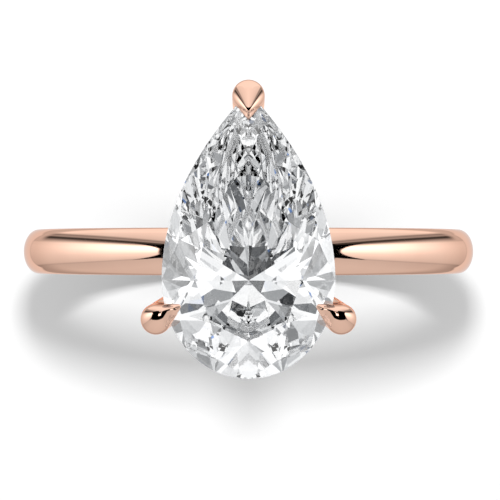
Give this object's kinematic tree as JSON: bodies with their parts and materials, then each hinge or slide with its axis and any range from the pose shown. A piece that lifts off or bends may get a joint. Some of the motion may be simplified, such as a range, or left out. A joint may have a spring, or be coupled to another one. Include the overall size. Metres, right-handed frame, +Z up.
{
  "type": "engagement ring",
  "caption": "Solitaire engagement ring: a pear-cut stone held by a claw on each side and a cap at its point, on a slim domed rose-gold band.",
  "frame": {"origin": "centre of the finger hole", "axes": "+Z up through the stone's table, +Y along the finger hole towards the pear's point, +X to the right when the point is away from the viewer"},
  "size_m": [0.0206, 0.0117, 0.026],
  "materials": {
    "rose_gold_band": "high polish 14 karat rose gold with faint hairline wear",
    "rose_gold_head": "polished 14 karat rose gold, slightly duller where the wheel does not reach",
    "rose_gold_prongs": "high polish 14 karat rose gold",
    "diamond": "polished facets, colourless"
  },
  "bodies": {
    "root": {"shank": "rose_gold_band", "head_peg": "rose_gold_head", "head_base": "rose_gold_head", "lower_gallery_rail": "rose_gold_head", "upper_gallery_rail": "rose_gold_head", "left_claw_prong": "rose_gold_prongs", "right_claw_prong": "rose_gold_prongs", "tip_v_prong": "rose_gold_prongs", "centre_stone": "diamond"}
  },
  "joints": []
}
